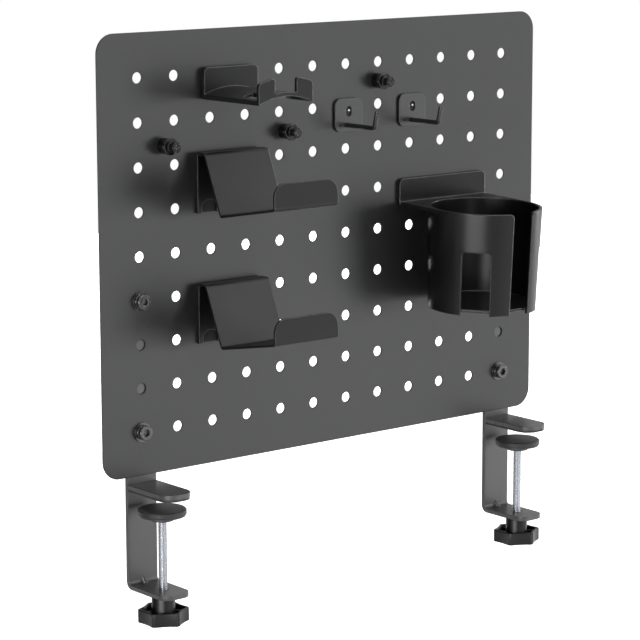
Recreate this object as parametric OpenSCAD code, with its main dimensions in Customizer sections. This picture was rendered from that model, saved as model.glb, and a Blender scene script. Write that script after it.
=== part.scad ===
// Steel desk pegboard that stands on two screw clamps, with magnetic accessories on its face.
// Millimetres. X runs along the desk's rear edge, Y points away from the user and Z is up.
// Origin: middle of the desk's rear top edge, in the plane where the upper jaws rest on the desk.

/* [Pegboard] */
// Width of the perforated sheet
board_w = 500; // [460:1:620]
// Height of the perforated sheet
board_h = 380; // [350:1:460]
// Thickness of the perforated sheet
board_t = 1.2; // [0.8:0.1:3]
// Radius of the sheet's corners
board_corner_r = 17; // [4:1:30]
// Diameter of the peg holes
peg_hole_d = 9.5; // [9:0.1:14]
// Distance from peg hole to peg hole
peg_pitch = 38; // [34:1:40]
// Least distance from the sheet's edges to the middles of the outer peg holes
peg_margin = 30; // [26:1:37]
// Height of the sheet's lower edge above the desk top
board_lift = 12.5; // [10:0.5:40]

/* [Clamp bolts] */
// Row of peg holes that takes the upper bolts, counted from the lowest row as zero
upper_bolt_row = 3; // [1:1:4]
// Diameter of the bolt shank
bolt_d = 7.8; // [5:0.1:8]
// Diameter of the bolt head
bolt_head_d = 13; // [10:0.5:15]
// Height of the bolt head
bolt_head_h = 5.6; // [4:0.2:8]
// Width across the flats of the socket in the head
socket_af = 6; // [3:0.5:7]
// Depth of the socket
socket_depth = 3.2; // [1:0.2:3.6]
// Outer diameter of the washer
washer_d = 17; // [16:0.5:24]
// Thickness of the washer
washer_t = 1.4; // [0.8:0.1:3]
// Width across the flats of the nut
nut_af = 13; // [12:0.5:16]
// Height of the nut
nut_h = 6.5; // [4:0.5:9]
// Length of the bolt's end beyond the nut
bolt_end = 1.5; // [0.5:0.5:6]

/* [Clamp brackets] */
// Width of the steel strap
strap_w = 30; // [26:1:40]
// Thickness of the steel strap
strap_t = 4; // [2.5:0.5:6]
// Height of the strap above the upper bolt
strap_over = 14; // [9:1:18]
// Height of the mouth, from the desk top down to the lower plate
throat_h = 82.8; // [70:0.2:120]
// Reach of the lower plate in front of the strap
lower_reach = 52; // [45:0.1:70]
// Inner radius of the strap's bend
bend_r = 3; // [2:0.5:8]
// Corner radius of the lower plate's end
lower_corner_r = 10; // [3:1:12]
// Height and depth of the pressed gusset in the bend
gusset_leg = 6; // [4:0.5:9]
// Width of the pressed gusset
gusset_w = 6; // [4:0.5:9]
// Reach of the upper jaw in front of the strap
jaw_reach = 57.5; // [48:0.1:75]
// Thickness of the upper jaw
jaw_t = 4; // [2.5:0.5:6]
// Corner radius of the upper jaw's end
jaw_corner_r = 12; // [3:1:12]
// Thickness of the rubber liner under the jaw
liner_t = 2; // [1:0.5:4]
// Margin of bare steel round the liner
liner_inset = 0.4; // [0.2:0.1:3]

/* [Clamp screws] */
// Distance from the strap to the screw's axis
screw_out = 29.1; // [25:0.1:34]
// Outer diameter of the threaded rod
screw_d = 7.6; // [6:0.1:10]
// Gap between the jaw's liner and the pad with the screw fully raised
pad_gap = 11.5; // [6:0.5:20]
// Diameter of the pad
pad_d = 42; // [32:1:48]
// Thickness of the pad's rubber face
pad_rubber_t = 2.5; // [1.5:0.5:5]
// Thickness of the pad's steel disc
pad_disc_t = 3.4; // [3:0.1:8]
// Diameter of the collar under the disc
collar_d = 21.6; // [16:0.2:26]
// Height of the collar
collar_h = 4.1; // [2:0.1:8]
// Diameter of the riveted head that holds the pad on the rod
rivet_d = 11; // [10.5:0.5:14]
// Thickness of the riveted head
rivet_t = 1.5; // [1:0.1:2]
// Outer diameter of the threaded bush
bush_d = 12; // [11.5:0.5:13]
// Length of the bush below the lower plate
bush_drop = 4; // [2:0.5:6]
// Size of the knob across its corners
knob_d = 44; // [36:1:54]
// Height of the knob's rim
knob_h = 11.8; // [9:0.2:18]
// Width of the flat on each of the knob's corners
knob_flat = 2.6; // [1:0.2:5]
// Depth of the hollow in each side of the knob
knob_dish = 1; // [0.2:0.1:2]
// Wall round the recess in the knob's top
knob_rim = 2.6; // [1.5:0.1:4]
// Thickness of the knob's floor
knob_floor = 4.5; // [3:0.5:8]
// Diameter of the knob's neck
neck_d = 20.5; // [18:0.5:24]
// Distance from the lower plate down to the knob's rim, with the screw fully raised
neck_h = 12.9; // [8:0.1:20]

/* [Cup holder] */
// Distance from the sheet's right edge to the middle of the cup holder
cup_in = 117; // [60:1:190]
// Distance from the sheet's top edge down to the cup holder's bridge
cup_down = 167.6; // [130:0.1:250]
// How much wider than the rim the back plate is, on each side
cup_plate_over = 0.9; // [0:0.1:8]
// Height of the back plate above the bridge
cup_plate_h = 21.3; // [15:0.1:40]
// Thickness of the back plate
cup_plate_t = 2.8; // [2:0.1:5]
// Corner radius of the back plate
cup_plate_r = 5.5; // [2:0.5:8]
// Gap between the back plate and the rim
cup_gap = 5.4; // [2:0.1:20]
// Outer diameter at the rim
cup_top_d = 104.2; // [90:0.1:120]
// Outer diameter at the foot
cup_foot_d = 99.8; // [80:0.1:104]
// Height of the cup
cup_h = 93.2; // [80:0.1:130]
// Wall of the cup and of its bridge
cup_wall = 3; // [2:0.1:4]
// Height of the cup's floor above the foot
cup_floor_up = 5; // [3:0.1:10]
// Thickness of the cup's floor
cup_floor_t = 2.6; // [1.5:0.1:3]
// Forward lean of the bridge and cup, in degrees
cup_lean = 2; // [0:0.5:5]
// Width of the slot in the front
cup_slot_w = 22; // [14:1:30]
// Width of the side windows
cup_window_w = 26; // [16:1:30]
// Height of the side windows
cup_window_h = 58; // [30:1:70]
// Angle of the side windows from the front, in degrees
cup_window_angle = 50.5; // [45:0.5:60]
// Radius of the corners of the slot and the windows
cup_corner_r = 4; // [1:0.5:6]

/* [Tilted holders] */
// Distance from the sheet's left edge to the middle of both holders
holder_in = 135; // [110:1:180]
// Distance from the sheet's top edge down to the upper holder's top
upper_holder_down = 104.8; // [90:0.1:120]
// Distance from the sheet's top edge down to the lower holder's top
lower_holder_down = 218.7; // [200:0.1:280]
// Width of a holder
holder_w = 68.5; // [50:0.5:90]
// Thickness of the holder's sheet
holder_t = 2; // [1:0.1:3]
// Height of the holder's back plate
holder_plate_h = 53; // [40:1:70]
// Depth of the fold at the top
holder_fold = 10.8; // [8:0.1:20]
// Length of the slanted panel
holder_panel = 56.3; // [40:0.1:70]
// Slant of the panel from upright, in degrees
holder_slant = 23.3; // [15:0.1:35]
// Length of the floor
holder_floor = 74.7; // [50:0.1:90]
// Rise of the floor towards its front, in degrees
holder_rise = 10.3; // [0:0.1:20]
// Height of the front lip
holder_lip = 21.8; // [14:0.1:30]
// Backward lean of the lip, in degrees
holder_lip_lean = 2.3; // [0:0.1:10]
// Radius of the lip's corners
holder_lip_r = 12; // [3:1:13]
// Inner radius of the holder's bends
holder_bend_r = 1.4; // [1:0.1:4]
// Width of each notch in the foot of the back plate
holder_notch_w = 16; // [15:1:22]
// Height of each notch
holder_notch_h = 11; // [9:1:20]
// Radius of the notches' corners
holder_notch_r = 7; // [2:0.5:7.5]
// Distance from the side of the back plate to a notch
holder_notch_in = 4.5; // [3:0.5:10]

/* [Headphone hanger] */
// Distance from the sheet's left edge to the middle of the hanger
hanger_in = 136; // [60:1:180]
// Distance from the sheet's top edge down to the hanger's top
hanger_down = 32.5; // [10:0.1:50]
// Width of the hanger
hanger_w = 58; // [50:1:80]
// Height of the back plate at its sides, down to the saddle
hanger_plate_h = 23.3; // [18:0.1:35]
// Thickness of the back plate
hanger_plate_t = 4.8; // [3:0.1:8]
// Corner radius of the back plate
hanger_plate_r = 5; // [2:0.5:8]
// Reach of the saddle from the sheet
hanger_reach = 81.4; // [60:0.1:110]
// Rise of the saddle's middle over its sides
saddle_rise = 6; // [3:0.5:10]
// Thickness of the saddle
saddle_t = 3.6; // [2:0.1:5]
// Width of each front lip
hanger_lip_w = 17.4; // [15:0.1:22]
// Height of the lips above the saddle's underside
hanger_lip_h = 16.5; // [12:0.1:25]
// Thickness of the lips
hanger_lip_t = 3.2; // [2:0.1:5]
// Radius of the lips' outer corners
hanger_lip_r = 5; // [1:0.5:7]
// Radius of the lips' inner corners
hanger_lip_inner_r = 2.5; // [1:0.5:5]
// Width of the opening in the saddle behind each lip
hanger_slot_w = 11; // [6:1:12]
// Length of the opening in the saddle behind each lip
hanger_slot_l = 20; // [10:1:30]
// Distance from the saddle's front to the opening
hanger_slot_in = 6.4; // [5:0.1:12]

/* [Hooks] */
// Distance from the sheet's right edge to the middle of the left hook
left_hook_in = 229.6; // [205:0.1:240]
// Distance from the sheet's right edge to the middle of the right hook
right_hook_in = 154; // [60:0.1:175]
// Distance from the sheet's top edge down to the hooks' tops
hook_down = 68.9; // [66:0.1:90]
// Width of a hook's plate
hook_plate_w = 31.5; // [24:0.5:40]
// Height of a hook's plate
hook_plate_h = 29.7; // [26:0.1:40]
// Thickness of a hook's plate
hook_plate_t = 1.4; // [0.8:0.1:3]
// Corner radius of a hook's plate
hook_plate_r = 6.5; // [2:0.5:9]
// Diameter of the hook's wire
wire_d = 4.2; // [3:0.1:6]
// Height of the wire above the plate's lower edge
wire_up = 5.8; // [4:0.1:9]
// Distance from the plate's middle to the wire
wire_aside = 1.6; // [0:0.1:3]
// Reach of the straight wire in front of the plate, to the corner of its bend
wire_reach = 37; // [25:0.5:60]
// Length of the upturned end, from the corner of its bend
wire_end = 16; // [12:0.1:25]
// Lean of the upturned end from upright, in degrees
wire_lean = 15; // [0:1:45]
// Radius of the wire's bend, at the wire's middle
wire_bend_r = 4; // [3:0.5:8]
// Width of the punched hole in the plate
hook_hole_w = 6.6; // [4:0.2:9]
// Height of the punched hole
hook_hole_h = 9.4; // [9:0.2:12]
// Distance from the plate's top to the middle of the punched hole
hook_hole_down = 11.6; // [9:0.1:14]
// Diameter of the small eye beside the wire
hook_eye_d = 1.8; // [1:0.1:2.5]
// Distance from the wire to the small eye
hook_eye_aside = 8; // [5:0.1:9]

/* [Push pins] */
// Distance from the sheet's left edge to the left pin
left_pin_in = 67.4; // [15:0.1:80]
// Distances from the sheet's right edge to the middle pin and to the right pin
right_pins_in = [301.7, 194.3];
// Distances from the sheet's top edge down to the three pins
pins_down = [97, 93.5, 55];
// Length of a pin
pin_len = 19.8; // [15:0.1:30]
// Diameter of a pin's crown
pin_crown_d = 15.2; // [12:0.1:20]
// Diameter of a pin's sleeve
pin_sleeve_d = 13.7; // [11:0.1:15]
// Diameter of a pin's head
pin_head_d = 9.4; // [7:0.1:11]
// Diameter of the magnet in a pin's foot
pin_magnet_d = 10; // [6:0.5:10.5]
// Thickness of the magnet in a pin's foot
pin_magnet_t = 3; // [1.5:0.5:5]
// Width of the cross cut in a pin's head
pin_cross_w = 1.2; // [0.8:0.1:2]
// Depth of the cross cut
pin_cross_depth = 1; // [0.5:0.1:2]

/* [Magnet sheets] */
// Thickness of the magnet sheets behind the accessories
magnet_t = 1.2; // [0.8:0.1:2]
// Margin round the magnet sheets
magnet_inset = 0.5; // [0.2:0.1:1.5]

/* [Hidden] */

// Fineness of round shapes
$fn = 64;
saddle_fn = 180;
// Facets of each bend and of each computed arc
bend_steps = 6;
arc_steps = 14;
// Sides of the bent wires
wire_sides = 20;

// How far cuts run past the faces that they go through
overrun = 1;
// Clearance of a part that turns on or in another, on the radius
running_gap = 0.05;
// Clearance between faces that move past each other
free_gap = 0.4;
// Clearance of a bolt in the strap and the washer, on the radius
bolt_gap = 0.3;
// Edge chamfer of the pad, the knob, the bolts and the nuts
edge = 0.8;

// Colours, as seen on the finished parts
steel_colour = [0.19, 0.19, 0.2];
plastic_colour = [0.08, 0.08, 0.085];
rubber_colour = [0.05, 0.05, 0.05];
zinc_colour = [0.78, 0.79, 0.82];
bolt_colour = [0.14, 0.14, 0.15];
magnet_colour = [0.12, 0.12, 0.12];

// As many columns and rows of holes as the sheet has room for
peg_cols = 1 + floor((board_w - 2 * peg_margin) / peg_pitch);
peg_rows = 1 + floor((board_h - 2 * peg_margin) / peg_pitch);

// Places of the accessories along the sheet, from its middle
cup_x = board_w / 2 - cup_in;
holder_x = holder_in - board_w / 2;
hanger_x = hanger_in - board_w / 2;
left_hook_x = board_w / 2 - left_hook_in;
right_hook_x = board_w / 2 - right_hook_in;
pins_x = [left_pin_in - board_w / 2, board_w / 2 - right_pins_in[0], board_w / 2 - right_pins_in[1]];

// The clamps stand behind the outer columns of holes
clamp_x = (peg_cols - 1) * peg_pitch / 2;
low_row_z = board_lift + board_h / 2 - (peg_rows - 1) * peg_pitch / 2;
bolt_heights = [low_row_z, low_row_z + upper_bolt_row * peg_pitch];
strap_top = bolt_heights[1] + strap_over;
strap_under = -throat_h - strap_t;
pad_top = -pad_gap;
disc_top = pad_top - pad_rubber_t;
collar_under = disc_top - pad_disc_t - collar_h;
knob_top = strap_under - neck_h;
knob_under = knob_top - knob_h;
neck_top = strap_under - free_gap;
screw_foot = knob_under + knob_floor;

cup_axis_out = cup_gap + cup_top_d / 2;
cup_plate_w = cup_top_d + 2 * cup_plate_over;

// The cup's slot and windows are cut from inside its wall, where the cup is narrowest
cup_least_r = min(cup_top_d, cup_foot_d) / 2 - cup_wall;
cup_cut_from = sqrt(pow(cup_least_r, 2) - pow(max(cup_slot_w, cup_window_w) / 2, 2));
function cup_inner_r(z) = cup_top_d / 2 - cup_wall + z * (cup_top_d - cup_foot_d) / (2 * cup_h);

// The saddle is an arc through its two sides and its raised middle
saddle_r = (pow(hanger_w / 2, 2) + pow(saddle_rise, 2)) / (2 * saddle_rise);
saddle_axis = saddle_rise - hanger_plate_h - saddle_r;
saddle_middle_r = saddle_r - saddle_t / 2;
saddle_under_r = saddle_r - saddle_t;
hanger_lip_top_r = saddle_under_r + hanger_lip_h;

// Outline of a pin from foot to head: share of its length, and share of the named radius there
pin_sleeve_shares = [[0, 0.94], [0.03, 1], [0.4, 1], [0.42, 0.95], [0.44, 0.93]];
pin_crown_shares = [[0.45, 0.96], [0.48, 1], [0.53, 1], [0.56, 0.96], [0.575, 0.86], [0.58, 0.6]];
pin_cross_share = 0.56;
pin_head_shares = [[0.61, 0.76], [0.72, 0.7], [0.75, 0.9], [0.78, 1], [0.94, 1], [0.98, 0.94], [1, 0.8]];

// Vector helpers for bent sheets
function unit(v) = v / norm(v);
function left_of(v) = [-v[1], v[0]];
function turned(v, a) = [v[0] * cos(a) - v[1] * sin(a), v[0] * sin(a) + v[1] * cos(a)];
function along(angle) = [cos(angle), sin(angle)];
function reversed(list) = [for (i = [len(list) - 1 : -1 : 0]) list[i]];
function arc_points(centre, r, from, to) =
    [for (k = [0 : arc_steps]) centre + r * along(from + (to - from) * k / arc_steps)];

// One rounded corner of a bent sheet's face, moved sideways from the middle path
function bend_points(path, i, r, aside) =
    let (before = unit(path[i] - path[i - 1]), after = unit(path[i + 1] - path[i]),
         turn = atan2(cross(before, after), before * after), side = sign(turn),
         centre = path[i] - before * r * tan(abs(turn) / 2) + left_of(before) * side * r)
    [for (k = [0 : bend_steps])
        centre - turned(left_of(before) * side, turn * k / bend_steps) * (r - side * aside)];

// One face of a bent sheet
function sheet_face(path, r, aside) =
    let (last = len(path) - 1, first_way = unit(path[1] - path[0]),
         last_way = unit(path[last] - path[last - 1]))
    concat([path[0] + left_of(first_way) * aside],
           [for (i = [1 : last - 1]) each bend_points(path, i, r, aside)],
           [path[last] + left_of(last_way) * aside]);

// Side view of a bent sheet of thickness t, whose middle follows path and bends with radius r
module sheet_outline(path, t, r) {
    polygon(concat(sheet_face(path, r, t / 2), reversed(sheet_face(path, r, -t / 2))));
}

// Side view, drawn as [Y, Z], made into a solid of width w across X
module across(w) {
    translate([-w / 2, 0, 0]) rotate([90, 0, 90]) linear_extrude(w) children();
}

// Front view, drawn as [X, Z], made into a solid of depth t towards the user
module forward(t) {
    rotate([90, 0, 0]) linear_extrude(t) children();
}

// A cylinder across Y that starts behind the origin's plane and cuts towards the user
module through() {
    translate([0, overrun, 0]) rotate([90, 0, 0]) children();
}

// Rectangle with rounded corners, about its middle
module rounded_rect(w, h, r) {
    square([w - 2 * r, h], center = true);
    square([w, h - 2 * r], center = true);
    for (x = [-1, 1], y = [-1, 1]) translate([x * (w / 2 - r), y * (h / 2 - r)]) circle(r);
}

// Upright oval with round ends, about its middle
module oval(w, h) {
    square([w, h - w], center = true);
    for (y = [-1, 1]) translate([0, y * (h - w) / 2]) circle(d = w);
}

// What is cut away to round a corner at the origin, where the material lies at -X and -Y
module corner_piece(r) {
    difference() {
        translate([-r, -r]) square(r + overrun);
        translate([-r, -r]) circle(r);
    }
}

// Both end corners of a strip of width w, whose end lies on the X axis with the strip at +Y
module end_corners(w, r) {
    for (side = [0, 1]) mirror([side, 0]) translate([w / 2, 0]) mirror([0, 1]) corner_piece(r);
}

// A child placed at one of the two clamps, -1 for the left and 1 for the right
module at_clamp(side) {
    translate([side * clamp_x, 0, 0]) children();
}

// A child placed on the sheet's face, by its distance down from the sheet's top edge
module on_face(x, down) {
    translate([x, -board_t, board_lift + board_h - down]) children();
}

// Cylinder with both edges chamfered, standing on the origin
module chamfered(d, h, c) {
    rotate_extrude() polygon([[0, 0], [d / 2 - c, 0], [d / 2, c], [d / 2, h - c], [d / 2 - c, h], [0, h]]);
}

// Pegboard
module pegboard_panel() {
    color(steel_colour)
    translate([0, 0, board_lift + board_h / 2])
    difference() {
        forward(board_t) rounded_rect(board_w, board_h, board_corner_r);
        for (col = [0 : peg_cols - 1], row = [0 : peg_rows - 1])
            translate([(col - (peg_cols - 1) / 2) * peg_pitch, 0, (row - (peg_rows - 1) / 2) * peg_pitch])
                through() cylinder(d = peg_hole_d, h = board_t + 2 * overrun);
    }
}

// Clamp brackets
module gusset() {
    intersection() {
        translate([-gusset_w / 2, -gusset_leg, strap_under + strap_t / 2])
            cube([gusset_w, gusset_leg + strap_t / 2, gusset_leg + strap_t / 2]);
        translate([0, gusset_w / (2 * sqrt(2)), -throat_h + gusset_leg - gusset_w / (2 * sqrt(2))])
            rotate([-45, 0, 0]) cylinder(d = gusset_w, h = 6 * gusset_leg, center = true);
    }
}

module bracket() {
    color(steel_colour) {
        difference() {
            across(strap_w) sheet_outline([[strap_t / 2, strap_top],
                [strap_t / 2, strap_under + strap_t / 2], [-lower_reach, strap_under + strap_t / 2]],
                strap_t, bend_r + strap_t / 2);
            translate([0, -lower_reach, strap_under - overrun])
                linear_extrude(strap_t + 2 * overrun) end_corners(strap_w, lower_corner_r);
            translate([0, strap_t + overrun, strap_top])
                forward(strap_t + 2 * overrun) mirror([0, 1]) end_corners(strap_w, bend_r);
            for (z = bolt_heights) translate([0, strap_t, z])
                through() cylinder(r = bolt_d / 2 + bolt_gap, h = strap_t + 2 * overrun);
            translate([0, -screw_out, strap_under - overrun])
                cylinder(d = bush_d, h = strap_t + 2 * overrun);
        }
        gusset();
    }
}

module jaw() {
    color(steel_colour)
    difference() {
        translate([-strap_w / 2, -jaw_reach, liner_t]) cube([strap_w, jaw_reach, jaw_t]);
        translate([0, -jaw_reach, liner_t - overrun])
            linear_extrude(jaw_t + 2 * overrun) end_corners(strap_w, jaw_corner_r);
    }
}

module jaw_liner() {
    color(rubber_colour)
    difference() {
        translate([-strap_w / 2 + liner_inset, liner_inset - jaw_reach, 0])
            cube([strap_w - 2 * liner_inset, jaw_reach - 2 * liner_inset, liner_t]);
        translate([0, liner_inset - jaw_reach, -overrun])
            linear_extrude(liner_t + 2 * overrun)
                end_corners(strap_w - 2 * liner_inset, jaw_corner_r - liner_inset);
    }
}

module bush() {
    color(bolt_colour)
    translate([0, -screw_out, strap_under - bush_drop])
    difference() {
        union() {
            cylinder(d = bush_d, h = bush_drop + strap_t);
            cylinder(d = bush_d + 2 * edge, h = bush_drop);
        }
        translate([0, 0, -overrun])
            cylinder(r = screw_d / 2 + running_gap, h = bush_drop + strap_t + 2 * overrun);
    }
}

// Clamp screws: the rod turns in the bush and in the pad, and the knob is fixed on its foot
module clamp_screw() {
    color(zinc_colour)
    translate([0, -screw_out, 0]) {
        translate([0, 0, screw_foot]) cylinder(d = screw_d, h = disc_top - free_gap - screw_foot);
        translate([0, 0, disc_top - free_gap - rivet_t]) cylinder(d = rivet_d, h = rivet_t);
    }
}

// Outline of the knob: narrow flats on its corners and a shallow hollow in each side
function knob_side(r, flat, dish, k) =
    let (turn = -90 + 60 * k, half = asin(flat / (2 * r)),
         a = r * along(turn + half), b = r * along(turn + 60 - half), middle = unit(a + b))
    [for (s = [0 : arc_steps / 2]) let (share = 2 * s / arc_steps)
        a + (b - a) * share - middle * dish * 4 * share * (1 - share)];
module knob_outline(r, flat, dish) {
    polygon([for (k = [0 : 5]) each knob_side(r, flat, dish, k)]);
}

module knob() {
    color(plastic_colour)
    translate([0, -screw_out, 0])
    difference() {
        union() {
            difference() {
                translate([0, 0, knob_under])
                    linear_extrude(knob_h) knob_outline(knob_d / 2, knob_flat, knob_dish);
                translate([0, 0, knob_under + knob_floor])
                    linear_extrude(knob_h) knob_outline(knob_d / 2 - knob_rim, knob_flat, knob_dish);
            }
            translate([0, 0, knob_under + knob_floor / 2])
                cylinder(d = neck_d, h = neck_top - knob_under - knob_floor / 2);
            for (k = [0 : 5]) rotate([0, 0, 60 * k + 30]) translate([0, -edge, knob_under + knob_floor / 2])
                cube([knob_d / 2 - knob_rim, 2 * edge, knob_h - knob_floor]);
        }
        translate([0, 0, screw_foot]) cylinder(d = screw_d, h = neck_top - screw_foot + overrun);
        translate([0, 0, strap_under - bush_drop - free_gap])
            cylinder(r = bush_d / 2 + edge + free_gap, h = bush_drop + overrun);
    }
}

module pad_disc() {
    color(bolt_colour)
    translate([0, -screw_out, 0])
    difference() {
        union() {
            translate([0, 0, disc_top - pad_disc_t]) cylinder(d = pad_d - 2 * edge, h = pad_disc_t);
            translate([0, 0, collar_under]) rotate_extrude() polygon([[0, 0], [collar_d / 2 - edge, 0],
                [collar_d / 2, edge], [collar_d / 2, collar_h], [0, collar_h]]);
        }
        translate([0, 0, collar_under - overrun])
            cylinder(r = screw_d / 2 + running_gap, h = disc_top - collar_under + 2 * overrun);
        translate([0, 0, disc_top - 2 * free_gap - rivet_t])
            cylinder(r = rivet_d / 2 + free_gap, h = 2 * free_gap + rivet_t + overrun);
    }
}

// The rubber face wraps over the disc's edge
module pad_rubber() {
    color(rubber_colour)
    translate([0, -screw_out, 0])
    difference() {
        translate([0, 0, disc_top - pad_disc_t + edge])
            chamfered(pad_d, pad_disc_t - edge + pad_rubber_t, edge);
        translate([0, 0, disc_top - pad_disc_t]) cylinder(d = pad_d - 2 * edge, h = pad_disc_t);
    }
}

// Bolts through the outer columns of holes
module each_bolt() {
    for (z = bolt_heights) translate([0, 0, z]) rotate([90, 0, 0]) children();
}

module bolts() {
    color(bolt_colour) each_bolt() {
        translate([0, 0, -strap_t - nut_h - bolt_end])
            cylinder(d = bolt_d, h = bolt_end + nut_h + strap_t + board_t + washer_t);
        difference() {
            translate([0, 0, board_t + washer_t]) chamfered(bolt_head_d, bolt_head_h, edge);
            translate([0, 0, board_t + washer_t + bolt_head_h - socket_depth])
                cylinder(d = socket_af / cos(30), h = socket_depth + overrun, $fn = 6);
        }
    }
}

module washers() {
    color(bolt_colour) each_bolt() difference() {
        translate([0, 0, board_t]) cylinder(d = washer_d, h = washer_t);
        translate([0, 0, board_t - overrun])
            cylinder(r = bolt_d / 2 + bolt_gap, h = washer_t + 2 * overrun);
    }
}

module nuts() {
    color(bolt_colour) each_bolt() translate([0, 0, -strap_t - nut_h]) difference() {
        cylinder(d = nut_af / cos(30), h = nut_h, $fn = 6);
        translate([0, 0, -overrun]) cylinder(d = bolt_d, h = nut_h + 2 * overrun);
    }
}

// Cup holder, about the front corner where its back plate meets the bridge
module cup_slot_outline() {
    half = cup_slot_w / 2;
    translate([-half, -cup_h - overrun]) square([cup_slot_w, cup_h + 2 * overrun]);
    for (side = [0, 1]) mirror([side, 0]) translate([-half, 0]) corner_piece(cup_corner_r);
}

module cup_window_outline() {
    translate([0, cup_window_h / 2 - cup_h - cup_corner_r])
        rounded_rect(cup_window_w, cup_window_h + 2 * cup_corner_r, cup_corner_r);
}

module cup_shell() {
    top_r = cup_top_d / 2;
    foot_r = cup_foot_d / 2;
    difference() {
        union() {
            translate([-top_r, -cup_axis_out, -cup_wall]) cube([cup_top_d, cup_axis_out, cup_wall]);
            translate([0, -cup_axis_out, -cup_h]) cylinder(r1 = foot_r, r2 = top_r, h = cup_h);
        }
        translate([0, -cup_axis_out, -cup_h - overrun])
            cylinder(r = foot_r - cup_wall, h = cup_floor_up - cup_floor_t + overrun);
        translate([0, -cup_axis_out, cup_floor_up - cup_h])
            cylinder(r1 = cup_inner_r(cup_floor_up - cup_h), r2 = cup_inner_r(overrun),
                h = cup_h - cup_floor_up + overrun);
        translate([0, -cup_axis_out - cup_cut_from, 0]) forward(cup_top_d) cup_slot_outline();
        for (side = [-1, 1]) translate([0, -cup_axis_out, 0]) rotate([0, 0, side * cup_window_angle])
            translate([0, -cup_cut_from, 0]) forward(cup_top_d) cup_window_outline();
    }
}

module cup_holder() {
    color(plastic_colour)
    on_face(cup_x, cup_down) translate([0, -magnet_t, 0]) {
        difference() {
            translate([0, 0, (cup_plate_h - cup_wall) / 2])
                forward(cup_plate_t) rounded_rect(cup_plate_w, cup_plate_h + cup_wall, cup_wall / 2);
            translate([0, overrun, cup_plate_h]) forward(cup_plate_t + 2 * overrun)
                mirror([0, 1]) end_corners(cup_plate_w, cup_plate_r);
        }
        translate([0, -cup_plate_t, 0]) rotate([cup_lean, 0, 0]) cup_shell();
    }
}

module cup_holder_magnet() {
    color(magnet_colour)
    on_face(cup_x, cup_down) translate([0, 0, (cup_plate_h - cup_wall) / 2]) forward(magnet_t)
        rounded_rect(cup_plate_w - 2 * magnet_inset, cup_plate_h + cup_wall - 2 * magnet_inset,
            cup_plate_r);
}

// Tilted holder, about the middle of its top edge on the sheet's face
module holder_sheet() {
    plate_y = -magnet_t - holder_t / 2;
    fold_end = [plate_y - holder_fold, -holder_t / 2];
    foot = fold_end + holder_panel * along(-90 - holder_slant);
    front = foot + holder_floor * along(180 - holder_rise);
    lip_top = front + holder_lip * along(90 - holder_lip_lean);
    difference() {
        across(holder_w) sheet_outline([[plate_y, -holder_plate_h], [plate_y, -holder_t / 2],
            fold_end, foot, front, lip_top], holder_t, holder_bend_r + holder_t / 2);
        translate([0, front[0] + holder_lip_r, lip_top[1]])
            forward(2 * holder_lip_r) mirror([0, 1]) end_corners(holder_w, holder_lip_r);
        for (side = [-1, 1])
            translate([side * (holder_w / 2 - holder_notch_in - holder_notch_w / 2), 0, -holder_plate_h])
            forward(magnet_t + 2 * holder_t)
                rounded_rect(holder_notch_w, 2 * holder_notch_h, holder_notch_r);
    }
}

module upper_holder() {
    color(plastic_colour) on_face(holder_x, upper_holder_down) holder_sheet();
}

module lower_holder() {
    color(plastic_colour) on_face(holder_x, lower_holder_down) holder_sheet();
}

module holder_magnet() {
    translate([0, 0, -holder_plate_h / 2]) forward(magnet_t)
        rounded_rect(holder_w - 2 * magnet_inset, holder_plate_h - 2 * magnet_inset, magnet_inset);
}

module upper_holder_magnet() {
    color(magnet_colour) on_face(holder_x, upper_holder_down) holder_magnet();
}

module lower_holder_magnet() {
    color(magnet_colour) on_face(holder_x, lower_holder_down) holder_magnet();
}

// Headphone hanger, about the middle of its top edge on the sheet's face
module saddle_outline() {
    intersection() {
        translate([0, saddle_axis]) difference() {
            circle(saddle_r, $fn = saddle_fn);
            circle(saddle_under_r, $fn = saddle_fn);
        }
        translate([-hanger_w / 2, -hanger_plate_h - 2 * saddle_t])
            square([hanger_w, saddle_rise + 3 * saddle_t]);
    }
}

// Angle at which a circle about the saddle's axis crosses an upright line
function crossing(r, x) = acos(x / r);

// Ends of an arc that rounds a lip's top corner at x, and the corner's middle
function corner_angle(r, x) = crossing(hanger_lip_top_r - r, x);
function corner_middle(r, x) = (hanger_lip_top_r - r) * along(corner_angle(r, x));

module hanger_lip_outline() {
    side = hanger_w / 2;
    inner = side - hanger_lip_w;
    inner_x = inner + hanger_lip_inner_r;
    outer_x = side - hanger_lip_r;
    translate([0, saddle_axis]) polygon(concat(
        arc_points([0, 0], saddle_middle_r, crossing(saddle_middle_r, side), crossing(saddle_middle_r, inner)),
        arc_points(corner_middle(hanger_lip_inner_r, inner_x), hanger_lip_inner_r, 180,
            corner_angle(hanger_lip_inner_r, inner_x)),
        arc_points(corner_middle(hanger_lip_r, outer_x), hanger_lip_r,
            corner_angle(hanger_lip_r, outer_x), 0)));
}

module saddle() {
    difference() {
        translate([0, -magnet_t, 0]) forward(hanger_reach - magnet_t) saddle_outline();
        for (side = [-1, 1])
            translate([side * (hanger_w - hanger_lip_w) / 2 - hanger_slot_w / 2,
                hanger_slot_in - hanger_reach, saddle_axis])
            cube([hanger_slot_w, hanger_slot_l, saddle_r + overrun]);
    }
    for (side = [0, 1]) mirror([side, 0, 0])
        translate([0, hanger_lip_t - hanger_reach, 0]) forward(hanger_lip_t) hanger_lip_outline();
}

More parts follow.
